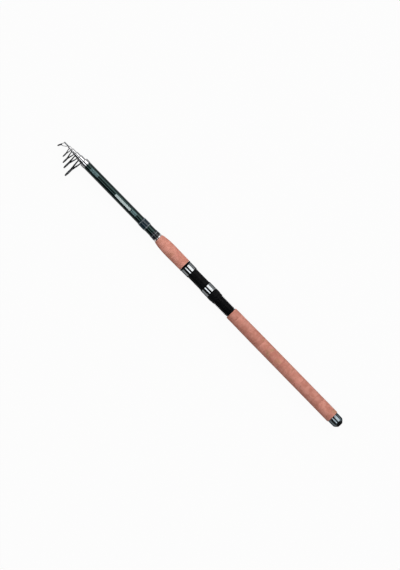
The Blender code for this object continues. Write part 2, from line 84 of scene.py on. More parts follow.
# Fits, walls and threads, as in the solids
FACE_GAP = 0.0003
GLUE = 0.00015
WRAP_LIFT = 0.0001
BLANK_WALL = 0.0012
DECK_WALL = 0.0009
FOOT_PAD_RISE = 0.0003
SEAT_RING_WALL = 0.00125
SEAT_PITCH = 0.003
SEAT_THREAD_DEPTH = 0.0009
SLEEVE_WALL = 0.00045
SECTION_FRONTS = (0.0054, 0.0041, 0.00295, 0.00195, 0.0008)
SECTION_WALLS = (0.0006, 0.0006, 0.00055, 0.00055)
LEG_FOOT_ANGLE = math.radians(40)
LEG_SINK = 0.00015

# Radii that follow from them
BLANK_BORE = BLANK - BLANK_WALL
OVER_BLANK = BLANK + FACE_GAP
SEAT = radius_of("seat_ring") - SEAT_RING_WALL - FACE_GAP
HOOD_BORE = SEAT + FACE_GAP
DECK = OVER_BLANK + DECK_WALL
PAD = DECK + FOOT_PAD_RISE

# The rounding of small turned edges
FINE = 0.0001

# Cork: the offset keeps places along the rod positive where its rings are counted
RING_LENGTH = 0.0127
RING_OFFSET = 10.0
FRONT_CORK_SHIFT = 0.05
CORK_CORNER = 0.0009
CORK_TAPER = 0.0004

# Fineness of the meshes
HANDLE_SIDES = 128
THREAD_SIDES = 96
NUT_SIDES = 240
TUBE_SIDES = 64
TIP_TUBE_SIDES = 48
RING_SIDES = 72
TIP_RING_SIDES = 60
WIRE_SIDES = 16
CORK_STEP = 0.0007
LEG_POINTS = 22
BRACE_POINTS = 20
WELD_DISTANCE = 1e-7


# Materials

def colour(red, green, blue):
    """A colour with its alpha."""
    return (red, green, blue, 1.0)


def add_node(tree, kind, inputs=None, **settings):
    """A new node with its settings, and values or links for its inputs."""
    made = tree.nodes.new("ShaderNode" + kind)
    for key, value in settings.items():
        setattr(made, key, value)
    for key, value in (inputs or {}).items():
        if isinstance(value, bpy.types.NodeSocket):
            tree.links.new(value, made.inputs[key])
        else:
            made.inputs[key].default_value = value
    return made


class Surface:
    """A material and the nodes that feed its shader."""

    def __init__(self, name, base, roughness, metallic=0.0, coat=0.0, coat_roughness=0.04, level=0.5):
        self.material = bpy.data.materials.new(name)
        self.material.use_nodes = True
        self.material.diffuse_color = colour(*base)
        self.tree = self.material.node_tree
        self.shader = self.tree.nodes["Principled BSDF"]
        values = {"Base Color": colour(*base), "Roughness": roughness, "Metallic": metallic,
                  "Coat Weight": coat, "Coat Roughness": coat_roughness, "Specular IOR Level": level}
        for socket, value in values.items():
            self.shader.inputs[socket].default_value = value
        self.place = self.node("TexCoord").outputs["Object"]

    def node(self, kind, inputs=None, **settings):
        """A new node in the material."""
        return add_node(self.tree, kind, inputs, **settings)

    def math(self, operation, *values):
        """The result of one sum."""
        return self.node("Math", dict(enumerate(values)), operation=operation).outputs[0]

    def mix(self, share, first, second):
        """Two colours mixed."""
        return self.node("Mix", {0: share, 6: first, 7: second}, data_type="RGBA").outputs[2]

    def step(self, value, low, high, bottom=0.0, top=1.0):
        """A smooth step from bottom to top while value goes from low to high."""
        inputs = {0: value, 1: low, 2: high, 3: bottom, 4: top}
        return self.node("MapRange", inputs, interpolation_type="SMOOTHSTEP").outputs[0]

    def stretched(self, scale, source=None):
        """A place, by default in object coordinates, scaled by three factors."""
        return self.node("VectorMath", {0: source or self.place, 1: scale}, operation="MULTIPLY").outputs[0]

    def noise(self, scale, detail, source=None, distortion=0.0):
        """Noise from 0 to 1."""
        inputs = {"Vector": source or self.place, "Scale": scale, "Detail": detail,
                  "Distortion": distortion}
        return self.node("TexNoise", inputs).outputs["Fac"]

    def split(self, source=None):
        """The three coordinates of a place."""
        return self.node("SeparateXYZ", {0: source or self.place}).outputs

    def bump(self, height, depth):
        """A normal from a height between 0 and 1, which stands for depth metres."""
        return self.node("Bump", {"Strength": 1.0, "Distance": depth, "Height": height}).outputs[0]

    def feed(self, socket, source):
        """Link a result to the shader."""
        self.tree.links.new(source, self.shader.inputs[socket])


def cork_surface(name, shift, level, olive_share):
    """Turned cork rings, glued face to face: pink-tan, mottled, with brown pores and faint joints.
    shift moves the joints, level is the brightness, and olive_share the strength of olive clouds."""
    made = Surface(name, (0.62, 0.28, 0.205), 0.78, level=0.15)
    rings = made.math("DIVIDE", made.math("ADD", made.split()[0], RING_OFFSET + shift), RING_LENGTH)
    chance = made.node("TexWhiteNoise", {"W": made.math("FLOOR", rings)}, noise_dimensions="1D").outputs
    place = made.node("VectorMath", {0: made.place, 1: chance["Color"]}, operation="ADD").outputs[0]

    mottle = made.step(made.noise(75, 3, place, 0.6), 0.36, 0.66)
    tone = made.mix(mottle, colour(0.53, 0.212, 0.160), colour(0.645, 0.285, 0.225))
    olive = made.step(made.noise(48, 2, place, 0.3), 0.56, 0.72, 0, olive_share)
    tone = made.mix(olive, tone, colour(0.47, 0.255, 0.150))
    pink = made.step(made.noise(120, 2, place), 0.55, 0.75, 0, 0.45)
    tone = made.mix(pink, tone, colour(0.65, 0.235, 0.200))
    light = made.math("MULTIPLY_ADD", chance["Value"], 0.12 * level, 0.94 * level)
    grain = made.step(made.noise(1500, 3), 0.25, 0.75, 0.94, 1.05)
    inputs = {0: tone, "Scale": made.math("MULTIPLY", light, grain)}
    tone = made.node("VectorMath", inputs, operation="SCALE").outputs[0]

    pore = cork_pores(made, place)
    tone = made.mix(made.math("MULTIPLY", pore, 0.55), tone, colour(0.17, 0.062, 0.035))
    share = made.math("FRACT", rings)
    nearest = made.math("MINIMUM", share, made.math("SUBTRACT", 1.0, share))
    joint = made.step(nearest, 0.004, 0.022, 0.34, 0.0)
    tone = made.mix(joint, tone, colour(0.24, 0.10, 0.06))
    made.feed("Base Color", tone)
    made.feed("Roughness", made.step(made.noise(300, 2), 0.3, 0.7, 0.70, 0.88))
    grit = made.step(made.noise(900, 4), 0.2, 0.8)
    height = made.math("SUBTRACT", grit, made.math("MULTIPLY", pore, 1.2))
    made.feed("Normal", made.bump(height, 0.00006))
    return made.material


def cork_pores(made, place):
    """Pores of two sizes with ragged edges, and the pits that are pressed into the mesh."""
    pore = made.node("Attribute", attribute_name="pit").outputs["Fac"]
    for scale, squeeze, rarity, reach in ((210, 0.55, 0.86, 0.20), (520, 0.7, 0.84, 0.17)):
        inputs = {"Vector": made.stretched((1.0, squeeze, squeeze), place), "Scale": scale}
        cells = made.node("TexVoronoi", inputs).outputs
        active = made.step(made.split(cells["Color"])[0], rarity, rarity + 0.1)
        edge = made.math("MULTIPLY_ADD", made.noise(1800, 1), 0.12, cells["Distance"])
        spot = made.math("MULTIPLY", active, made.step(edge, reach, reach + 0.14, 1.0, 0.0))
        pore = made.math("MAXIMUM", pore, spot)
    return pore


def lacquer_surface(name, fields=()):
    """Gloss lacquer, almost black with a green cast. fields are plain lighter strips in it:
    start and end along the rod, lowest and highest angle from the top, colour and strength."""
    end_blur, side_blur = 0.0006, 0.06
    winding_pitch = 0.0011
    made = Surface(name, (0.0012, 0.0024, 0.0022), 0.19, coat=0.16, coat_roughness=0.03, level=0.13)
    made.shader.inputs["Specular Tint"].default_value = colour(0.35, 1.0, 0.95)
    x, y, z = made.split()
    flake = made.step(made.noise(2600, 2), 0.45, 0.8, 0, 0.6)
    tone = made.mix(flake, colour(0.0008, 0.0018, 0.0017), colour(0.005, 0.010, 0.009))
    if fields:
        angle = made.math("ARCTAN2", made.math("SUBTRACT", y, AXIS.y), made.math("SUBTRACT", z, AXIS.z))
    for start, end, low, high, field_colour, strength in fields:
        along = made.math("MULTIPLY", made.step(x, start - end_blur, start + end_blur),
                          made.step(x, end - end_blur, end + end_blur, 1.0, 0.0))
        above = made.math("DIVIDE", made.math("SUBTRACT", angle, low), side_blur)
        below = made.math("DIVIDE", made.math("SUBTRACT", high, angle), side_blur)
        across = made.node("Clamp", {0: made.math("MINIMUM", above, below)}).outputs[0]
        cover = made.math("MULTIPLY", made.math("MULTIPLY", along, across), strength)
        tone = made.mix(cover, tone, colour(*field_colour))
    made.feed("Base Color", tone)
    winding = made.math("SINE", made.math("MULTIPLY", x, 2 * math.pi / winding_pitch))
    made.feed("Normal", made.bump(made.step(winding, -1, 1), 0.00001))
    made.feed("Coat Roughness", made.step(made.noise(160, 3), 0.35, 0.75, 0.02, 0.07))
    return made.material


def metal_surface(name, base, low_roughness, high_roughness, edge=1.0):
    """Plated or polished metal with faint smudges and turning marks.
    edge is its brightness at grazing angles."""
    made = Surface(name, base, low_roughness, metallic=1.0)
    made.shader.inputs["Specular Tint"].default_value = colour(edge, edge, edge)
    smudge = made.noise(230, 4, distortion=0.8)
    made.feed("Roughness", made.step(smudge, 0.35, 0.72, low_roughness, high_roughness))
    dark = [0.86 * part for part in base]
    clouds = made.step(made.noise(90, 3), 0.40, 0.75)
    made.feed("Base Color", made.mix(clouds, colour(*base), colour(*dark)))
    marks = made.noise(1.0, 1, made.stretched((9000, 40, 40)))
    made.feed("Normal", made.bump(marks, 0.000003))
    return made.material


def moulded_surface(name, base, low_roughness, high_roughness, level):
    """Moulded plastic, rubber or ceramic, with a fine grain and faintly lighter clouds."""
    made = Surface(name, base, low_roughness, level=level)
    made.feed("Normal", made.bump(made.noise(3200, 3), 0.00002))
    made.feed("Roughness", made.step(made.noise(140, 3), 0.3, 0.75, low_roughness, high_roughness))
    lighter = [1.8 * part + 0.001 for part in base]
    clouds = made.step(made.noise(420, 3), 0.45, 0.85)
    made.feed("Base Color", made.mix(clouds, colour(*base), colour(*lighter)))
    return made.material


def thread_surface(name, dark, light, metallic=0.0):
    """Thread wound side by side under clear lacquer, with painted shade: darker in the grooves between
    turns and lighter on their crests.
    """
    pitch = 0.00022
    made = Surface(name, dark, 0.42, metallic=metallic, coat=0.35, coat_roughness=0.025, level=0.0)
    turn = made.math("SINE", made.math("MULTIPLY", made.split()[0], 2 * math.pi / pitch))
    fibre = made.noise(1.0, 2, made.stretched((2500, 260, 260)))
    # Painted shade: the colour follows the bump's winding wave, dark in each groove between turns and light
    # on each crest.
    tone = made.mix(made.step(turn, -0.9, 0.8), colour(*dark), colour(*light))
    tone = made.mix(made.step(fibre, 0.45, 0.8, 0, 0.5), tone, colour(*light))
    made.feed("Base Color", tone)
    made.feed("Normal", made.bump(made.step(turn, -1, 1), 0.00005))
    made.feed("Coat Normal", made.bump(made.noise(330, 2), 0.00005))
    return made.material


def foam_surface(name):
    """Soft closed-cell foam."""
    made = Surface(name, (0.05, 0.05, 0.055), 0.95, level=0.2)
    cells = made.node("TexVoronoi", {"Vector": made.place, "Scale": 2600.0}).outputs["Distance"]
    tone = made.mix(made.step(cells, 0.1, 0.6), colour(0.022, 0.022, 0.025), colour(0.07, 0.07, 0.075))
    made.feed("Base Color", tone)
    made.feed("Normal", made.bump(cells, 0.0001))
    return made.material


# Plain strips where the real rod has its lettering
PALE = (0.46, 0.535, 0.54)
HAZE = (0.10, 0.155, 0.165)
STRIPS = [
    (BUTT + 0.5520, BUTT + 0.5916, math.radians(-15), math.radians(21), PALE, 0.95),
    (BUTT + 0.5373, BUTT + 0.5502, math.radians(-24), math.radians(21), HAZE, 0.85),
    (BUTT + 0.6376, BUTT + 0.6569, math.radians(-26), math.radians(22), HAZE, 0.85),
]

rear_cork = cork_surface("rear_cork", shift=0.0, level=0.97, olive_share=0.7)
front_cork = cork_surface("front_cork", shift=FRONT_CORK_SHIFT, level=1.11, olive_share=0.2)
butt_lacquer = lacquer_surface("butt_lacquer", STRIPS)
lacquer = lacquer_surface("lacquer")
chrome = metal_surface("chrome", (0.185, 0.196, 0.203), 0.03, 0.08, edge=0.0)
bright_chrome = metal_surface("bright_chrome", (0.30, 0.30, 0.31), 0.04, 0.10, edge=0.05)
dark_chrome = metal_surface("dark_chrome", (0.098, 0.118, 0.130), 0.15, 0.23, edge=0.0)
tip_metal = metal_surface("tip_metal", (0.11, 0.115, 0.12), 0.08, 0.16, edge=0.2)
wire_metal = metal_surface("wire_metal", (0.048, 0.051, 0.056), 0.08, 0.16, edge=0.2)
black_nickel = metal_surface("black_nickel", (0.030, 0.031, 0.034), 0.12, 0.22)
silver_trim = metal_surface("silver_trim", (0.46, 0.43, 0.43), 0.14, 0.24)
black_plastic = moulded_surface("black_plastic", (0.0010, 0.0014, 0.0021), 0.45, 0.6, level=0.055)
rubber = moulded_surface("rubber", (0.015, 0.015, 0.016), 0.72, 0.85, level=0.25)
ceramic = moulded_surface("ceramic", (0.006, 0.006, 0.0075), 0.12, 0.2, level=0.35)
foam = foam_surface("foam")
navy_thread = thread_surface("navy_thread", (0.004, 0.011, 0.019), (0.011, 0.030, 0.045))
charcoal_thread = thread_surface("charcoal_thread", (0.005, 0.0055, 0.008), (0.013, 0.015, 0.020))
silver_thread = thread_surface("silver_thread", (0.10, 0.12, 0.13), (0.24, 0.28, 0.30), metallic=0.8)


# Outlines

def soften(outline, steps=5):
    """An outline's points, with a curve of some steps at each corner that has a rounding."""
    points = []
    for index, (x, radius, *corner) in enumerate(outline):
        here = Vector((x, radius))
        if not corner:
            points.append(here)
            continue
        before = Vector(outline[index - 1][:2]) - here
        after = Vector(outline[(index + 1) % len(outline)][:2]) - here
        start = here + before.normalized() * corner[0]
        end = here + after.normalized() * corner[0]
        for step in range(steps + 1):
            share = step / steps
            points.append(start * (1 - share) ** 2 + here * 2 * share * (1 - share) + end * share ** 2)
    return brace(points)


def brace(points):
    """Add a point beside each end of a long step, so that a rounding doesn't shade the whole step."""
    gap = 0.0002
    braced = []
    for here, follower in zip(points, points[1:]):
        braced.append(here)
        length = (follower - here).length
        if length > 7 * gap:
            braced += [here.lerp(follower, gap / length), follower.lerp(here, gap / length)]
    return braced + [points[-1]]


def refine(points, longest):
    """Add points so that no step is longer than this."""
    fine = []
    for here, follower in zip(points, points[1:]):
        steps = max(1, math.ceil((follower - here).length / longest))
        fine += [here.lerp(follower, step / steps) for step in range(steps)]
    return fine + [points[-1]]


def groove(start, end, slope, floor, edge, front_edge=None):
    """The corners of a turned groove with sloping sides, down to the radius of its floor.
    An edge is a radius and a rounding, and slope is negative where the outline runs backward."""
    return [(start, *edge), (start + slope, floor, FINE), (end - slope, floor, FINE),
            (end, *(front_edge or edge))]


def thread_points(turn, ends, phase, pitch, radii, halves):
    """One column of a screw thread, whose ridges run out into the root at both ends.
    radii are those of root and crest, and halves are half a ridge's length at its crest and root."""
    start, end = ends
    root, crest = radii
    crest_half, root_half = halves
    points = []
    first = math.floor((start - phase) / pitch) - 1
    last = math.ceil((end - phase) / pitch) + 1
    for ridge in range(first, last + 1):
        middle = phase + pitch * (ridge + turn)
        for offset, top in ((-root_half, 0), (-crest_half, 1), (crest_half, 1), (root_half, 0)):
            x = min(max(middle + offset, start), end)
            height = min((x - start) / pitch, (end - x) / pitch, 1) * top
            points.append(Vector((x, root + (crest - root) * height)))
    return points


# Meshes

def turned(outline_at, sides, centre=AXIS):
    """Turn an outline about a line along X. outline_at(turn) gives its points at that share of a turn."""
    mesh = bmesh.new()
    columns = []
    for side in range(sides):
        angle = 2 * math.pi * side / sides
        y, z = math.cos(angle), math.sin(angle)
        columns.append([mesh.verts.new((x, centre.y + radius * y, centre.z + radius * z))
                        for x, radius in outline_at(side / sides)])
    closing = [mesh.verts.new((x, centre.y + radius, centre.z)) for x, radius in outline_at(1.0)]
    for left, right in zip(columns, [*columns[1:], closing]):
        for index, corner in enumerate(left):
            follower = (index + 1) % len(left)
            mesh.faces.new((corner, left[follower], right[follower], right[index]))
    bmesh.ops.remove_doubles(mesh, verts=mesh.verts, dist=WELD_DISTANCE)
    bmesh.ops.dissolve_degenerate(mesh, dist=WELD_DISTANCE, edges=mesh.edges)
    bmesh.ops.delete(mesh, geom=[edge for edge in mesh.edges if edge.is_wire], context="EDGES")
    return mesh


def ring_mesh(centre, inner, outer, half, crown, corner, sides):
    """A ring around a line along X through its centre. crown and corner are the roundings of its
    outer and inner edges."""
    points = soften([(centre.x - half, outer, crown), (centre.x + half, outer, crown),
                     (centre.x + half, inner, corner), (centre.x - half, inner, corner)])
    return turned(lambda turn: points, sides, centre)


def wire_mesh(points, radius):
    """A round wire with flat closed ends along the points."""
    mesh = bmesh.new()
    angles = [2 * math.pi * step / WIRE_SIDES for step in range(WIRE_SIDES)]
    rings = []
    side = None
    for index, point in enumerate(points):
        along = (points[min(index + 1, len(points) - 1)] - points[max(index - 1, 0)]).normalized()
        if side is None:
            side = along.orthogonal().normalized()
        else:
            side = last_along.rotation_difference(along) @ side
        last_along = along
        across = along.cross(side)
        rings.append([mesh.verts.new(point + (side * math.cos(a) + across * math.sin(a)) * radius)
                      for a in angles])
    for near, far in zip(rings, rings[1:]):
        for step in range(WIRE_SIDES):
            follower = (step + 1) % WIRE_SIDES
            mesh.faces.new((near[step], near[follower], far[follower], far[step]))
    mesh.faces.new(rings[0])
    mesh.faces.new(rings[-1])
    return mesh


def block(low, high):
    """A plain block, for cutting."""
    mesh = bmesh.new()
    bmesh.ops.create_cube(mesh, size=1.0)
    size = Vector(high) - Vector(low)
    middle = (Vector(high) + Vector(low)) / 2
    placing = Matrix.Translation(middle) @ Matrix.Diagonal((*size, 1.0))
    bmesh.ops.transform(mesh, matrix=placing, verts=mesh.verts)
    return mesh


def add_object(name, data):
    """A new object in the scene."""
    made = bpy.data.objects.new(name, data)
    bpy.context.scene.collection.objects.link(made)
    return made


def mesh_data(name, mesh):
    """A mesh as an object's data, with its faces turned outward."""
    bmesh.ops.recalc_face_normals(mesh, faces=mesh.faces)
    data = bpy.data.meshes.new(name)
    mesh.to_mesh(data)
    mesh.free()
    return data


def combined(base, tools, operation):
    """Join meshes with a solid, or cut it by them, and return the result as a mesh."""
    made = [add_object("helper", mesh_data("helper", mesh)) for mesh in (base, *tools)]
    for tool in made[1:]:
        change = made[0].modifiers.new("change", "BOOLEAN")
        change.operation = operation
        change.solver = "EXACT"
        change.object = tool
    graph = bpy.context.evaluated_depsgraph_get()
    result = bmesh.new()
    result.from_mesh(made[0].evaluated_get(graph).to_mesh())
    for helper in made:
        data = helper.data
        bpy.data.objects.remove(helper, do_unlink=True)
        bpy.data.meshes.remove(data)
    return result


def finish_piece(name, mesh, material, body, replaced=(), sharp=34):
    """Make a mesh a piece that rides on a body, has a finish, and stands for some nodes."""
    data = mesh_data(name, mesh)
    data.shade_smooth()
    data.set_sharp_from_angle(angle=math.radians(sharp))
    data.materials.append(material)
    made = add_object(name, data)
    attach(made, body)
    if replaced:
        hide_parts(*replaced)
    return made


def round_piece(name, outline, material, body, replaced, sides=HANDLE_SIDES, steps=5):
    """A piece turned from one outline about the rod's axis."""
    points = soften(outline, steps)
    return finish_piece(name, turned(lambda turn: points, sides), material, body, replaced)


# Cork grips

def engrave_cork(piece, seed, shift):
    """Press pores and ring joints into a turned cork, and mark the pores for its material.
    shift moves the joints, as in the material."""
    pore_spacing = 0.00085
    pore_depth, joint_depth, wave_depth = 0.00028, 0.00007, 0.00005
    joint_half = 0.0004
    pore_edge, wave_scale = 1.6, 120
    bore_limit = BLANK + 0.0012
    rng = random.Random(seed)
    data = piece.data
    count = len(data.vertices)
    places = np.empty(count * 3, np.float32)
    data.vertices.foreach_get("co", places)
    places = places.reshape(-1, 3).astype(float)
    x = places[:, 0]
    across = places[:, 1:] - np.array(AXIS[1:])
    radius = np.hypot(across[:, 0], across[:, 1])
    angle = np.arctan2(across[:, 1], across[:, 0])
    outside = radius > bore_limit
    start, end = x.min(), x.max()
    pit = np.zeros(count)
    for _ in range(int((end - start) / pore_spacing)):
        at, turn = rng.uniform(start, end), rng.uniform(-math.pi, math.pi)
        long_half, short_half = rng.uniform(0.0007, 0.0021), rng.uniform(0.0004, 0.0009)
        lean, depth = rng.uniform(-0.5, 0.5), rng.uniform(0.35, 1.0)
        around = (np.mod(angle - turn + math.pi, 2 * math.pi) - math.pi) * GRIP
        u = ((x - at) * math.cos(lean) + around * math.sin(lean)) / short_half
        v = (around * math.cos(lean) - (x - at) * math.sin(lean)) / long_half
        pit = np.maximum(pit, depth * np.exp(-(u * u + v * v) * pore_edge))
    share = np.mod((x + RING_OFFSET + shift) / RING_LENGTH, 1.0)
    joint = np.exp(-(np.minimum(share, 1 - share) * RING_LENGTH / joint_half) ** 2)
    wave = np.array([noise.noise(Vector(place) * wave_scale) for place in places])
    inward = (pore_depth * pit + joint_depth * joint + wave_depth * (1 + wave)) * outside
    shrink = 1 - inward / np.maximum(radius, 1e-6)
    places[:, 1:] = across * shrink[:, None] + np.array(AXIS[1:])
    data.vertices.foreach_set("co", places.astype(np.float32).ravel())
    mark = data.attributes.new("pit", "FLOAT", "POINT")
    mark.data.foreach_set("value", (pit * outside).astype(np.float32))
    data.update()


def make_rear_grip():
    """The rear grip, which tapers a little toward the seat and has a pocket for the bush."""
    start, end = span("rear_grip")
    taper_start = start + 0.75 * (end - start)
    pocket = radius_of("butt_bush") + FACE_GAP
    pocket_end = span("butt_blank")[0]
    skin = soften([(start, pocket), (start, GRIP, CORK_CORNER), (taper_start, GRIP),
                   (end, GRIP - CORK_TAPER, CORK_CORNER), (end, OVER_BLANK)])[1:-1]
    points = [Vector((start, pocket)), *refine(skin, CORK_STEP), Vector((end, OVER_BLANK)),
              Vector((pocket_end, OVER_BLANK)), Vector((pocket_end, pocket))]
    cork = turned(lambda turn: points, HANDLE_SIDES)
    piece = finish_piece("rear_grip_cork", cork, rear_cork, "handle", ["rear_grip"])
    engrave_cork(piece, seed=7, shift=0.0)


def make_foregrip():
    """The foregrip, whose nose curves down to the winding check."""
    start, end = span("foregrip")
    widest = radius_of("foregrip")
    nose = 0.0300
    steps, crowding, bluntness = 40, 1.6, 0.75
    outline = [(start, OVER_BLANK), (start, widest - CORK_TAPER, CORK_CORNER)]
    for step in range(steps + 1):
        share = 1 - (step / steps) ** crowding
        fullness = (1 - (1 - share) ** 2) ** bluntness
        outline.append((end - nose * share, CHECK + (widest - CHECK) * fullness))
    outline.append((end, OVER_BLANK))
    points = refine(soften(outline), CORK_STEP)
    cork = turned(lambda turn: points, HANDLE_SIDES)
    piece = finish_piece("foregrip_cork", cork, front_cork, "handle", ["foregrip"])
    engrave_cork(piece, seed=19, shift=FRONT_CORK_SHIFT)


# Butt section

def make_butt_tube():
    """The lacquered butt tube, stepped down at its front, and the bright collar on the step."""
    start, end = span("butt_blank")
    step = span("front_collar")[0] - FACE_GAP
    spigot = BLANK - 0.00035
    round_piece("butt_tube", [
        (start, BLANK), (step, BLANK, 0.0002), (step, spigot), (end, spigot), (end, BLANK_BORE),
        (start, BLANK_BORE)], butt_lacquer, "handle", ["butt_blank"])

    start, end = span("front_collar")
    inside = spigot + GLUE
    outside = radius_of("front_collar")
    rear = outside - 0.0001
    lip = end - 0.0010
    round_piece("butt_collar", [
        (start, rear, 0.0002),
        *groove(start + 0.0007, start + 0.0014, 0.0002, outside - 0.00025, (rear, FINE), (outside, 0.0002)),
        (end, outside, 0.0005), (end, BLANK_BORE, 0.0003), (lip, BLANK_BORE), (lip, inside),
        (start, inside)], bright_chrome, "handle", ["front_collar"])


def make_winding_check():
    """The bright ring at the foregrip's nose, with one groove and a rounded front."""
    start, end = span("winding_check")
    inside = BLANK + GLUE
    rear_edge, front_edge = (CHECK - 0.0001, FINE), (CHECK - 0.00015, 0.0002)
    round_piece("check_ring", [
        (start, inside), (start, CHECK - 0.0001, 0.0002), (start + 0.0005, CHECK, 0.0002),
        *groove(start + 0.0014, start + 0.0021, 0.0002, CHECK - 0.0003, rear_edge, front_edge),
        (end, CHECK - 0.0005, 0.0006), (end, inside)],
        silver_trim, "handle", ["winding_check"])


def make_wrap(node, surface, rear_slope, front_slope, bands):
    """A lacquered thread wrap, cut into its main thread and its bands of silver thread, which start
    and end so far from its rear. The slopes are shares of its length. Without a rear slope it thins
    evenly toward the front."""
    start, end = span(node)
    length = end - start
    inside = BLANK + WRAP_LIFT
    thin = BLANK + 0.00035
    thick = radius_of(node)
    point_spacing = 0.00012
    edge_rounding = 0.00025
    band_rise = 0.00002

    def radius_at(x):
        """The wrap's outer radius at a place along the rod."""
        share = (x - start) / length
        blend = min(1.0, (1 - share) / front_slope)
        if rear_slope:
            blend = min(blend, share / rear_slope)
            blend = blend * blend * (3 - 2 * blend)
        return thin + (thick - thin) * blend

    def section(name, low, high, material, rise, replaced=()):
        """One stretch of the wrap as a piece. Its middle stands up by rise."""
        steps = max(4, round((high - low) / point_spacing))
        outer = []
        for step in range(steps + 1):
            x = low + (high - low) * step / steps
            swell = rise * min(1.0, min(x - low, high - x) / edge_rounding)
            outer.append(Vector((x, min(thick, radius_at(x) - band_rise + swell))))
        points = [Vector((low, inside)), *outer, Vector((high, inside))]
        mesh = turned(lambda turn: points, HANDLE_SIDES)
        finish_piece(name, mesh, material, "handle", replaced)

    edges = [start, *(start + place for band in bands for place in band), end]
    for index, (low, high) in enumerate(zip(edges, edges[1:])):
        number = index // 2 + 1
        if index % 2:
            section(f"{node}_band_{number}", low, high, silver_thread, band_rise)
        else:
            section(f"{node}_thread_{number}", low, high, surface, 0.0, [node] if index == 0 else [])


# Reel seat

def make_barrel():
    """The seat's tube: threaded behind, with a flat along its underside and a raised pad for the foot."""
    start, end = span("seat_barrel")
    margin = 0.0015
    nut_travel = 0.0080
    thread = (start + margin, span("lock_nut")[1] + nut_travel)
    plain_start = thread[1] + margin
    root = SEAT - SEAT_THREAD_DEPTH
    halves = (0.00042, 0.00075)

    def outline_at(turn):
        """The tube's outline at a share of a turn."""
        ridges = thread_points(turn, thread, start, SEAT_PITCH, (root, SEAT), halves)
        return [*ridges, *soften([
            (plain_start, SEAT), (end, SEAT, 0.0003), (end, OVER_BLANK), (start, OVER_BLANK),
            (start, root - 0.0001, 0.0004)])]

    fixed_rim_start, fixed_rim_end = span("fixed_hood_rim")
    pad_start = span("moving_hood_rim")[1] + FACE_GAP
    pad_end = fixed_rim_start - FACE_GAP
    flat_end = fixed_rim_end + 0.0080
    overlap = 0.0001
    reach = SEAT * 1.2
    flats = ((start - margin, pad_start, DECK), (pad_start - overlap, pad_end + overlap, PAD),
             (pad_end, flat_end, DECK))
    cutters = [block((low, AXIS.y - reach, AXIS.z - 2 * reach), (high, AXIS.y + reach, AXIS.z - height))
               for low, high, height in flats]
    barrel = combined(turned(outline_at, THREAD_SIDES), cutters, "DIFFERENCE")
    finish_piece("seat_tube", barrel, black_plastic, "handle", ["seat_barrel"], sharp=28)


def make_hoods():
    """The chromed hoods, rolled at the mouth with a shallow groove, and the black rims at their mouths."""
    for node, body in (("moving_hood", "moving_hood"), ("fixed_hood", "handle")):
        start, end = span(node)
        length = end - start
        outline = [(0, HOOD - 0.0003, 0.0003), (0.0008, HOOD, 0.0004),
                   *groove(0.0029, 0.0037, 0.0002, HOOD - 0.00015, (HOOD, FINE)),
                   (length - 0.0009, HOOD - 0.0001, 0.0003), (length, HOOD, 0.0002),
                   (length, HOOD_BORE), (0, HOOD_BORE)]
        if node == "moving_hood":
            outline = [(start + x, *rest) for x, *rest in outline]
        else:
            outline = [(end - x, *rest) for x, *rest in reversed(outline)]
        round_piece(node + "_shell", outline, chrome, body, [node])
    for node, body in (("moving_hood_rim", "moving_hood"), ("fixed_hood_rim", "handle")):
        low, high = span(node)
        round_piece(node + "_lip", [
            (low, HOOD, 0.0003),
            *groove(low + 0.00045, high - 0.00045, 0.00015, HOOD - 0.00012, (HOOD, FINE)),
            (high, HOOD, 0.0003), (high, HOOD_BORE), (low, HOOD_BORE)],
            black_plastic, body, [node])


def make_lock_nut():
    """The nut: ribs for the fingers in front, a smooth collar behind."""
    start, end = span("lock_nut")
    phase = span("seat_barrel")[0] + SEAT_PITCH / 2
    inset = 0.0025
    thread = (start + inset, end - inset)
    major = SEAT + FACE_GAP
    minor = major - SEAT_THREAD_DEPTH
    halves = (0.0005, 0.00083)
    wide = major + 0.00095
    collar = wide - 0.00075
    ribs, flute = 30, 0.00028

    def outline_at(turn):
        """The nut's outline at a share of a turn."""
        ridges = thread_points(turn, thread, phase, SEAT_PITCH, (major, minor), halves)
        wave = 0.5 - 0.5 * math.cos(2 * math.pi * ribs * turn)
        rib = wide - flute * wave ** 0.6
        outside = soften([
            (start, major + 0.0003, 0.0001), (start + 0.0004, collar, 0.0002),
            (start + 0.0040, wide - 0.0006, 0.0006), (start + 0.0046, collar, 0.0002),
            (start + 0.0052, collar, 0.0002), (start + 0.0060, wide - 0.0004, 0.0004),
            (start + 0.0090, rib, 0.0012), (end - 0.0026, rib, 0.0006),
            (end - 0.0016, wide - 0.0001, 0.0003), (end - 0.0002, wide - 0.0001, 0.0002),
            (end, wide - 0.0004)])
        return [Vector((start, major)), *outside, Vector((end, major)), *reversed(ridges)]

    nut = turned(outline_at, NUT_SIDES)
    finish_piece("lock_nut_ribbed", nut, black_plastic, "lock_nut", ["lock_nut"])


def make_seat_ring():
    """The grooved ring between the seat and the foregrip."""
    low, high = span("seat_ring")
    wide = radius_of("seat_ring")
    round_piece("seat_end_ring", [
        (low, wide - 0.0002, 0.0003),
        *groove(low + 0.0010, low + 0.0019, 0.0003, wide - 0.0003, (wide, 0.0003)),
        (high, wide - 0.0001, 0.0004), (high, HOOD_BORE), (low, HOOD_BORE)],
        black_plastic, "handle", ["seat_ring"])


# Butt cap

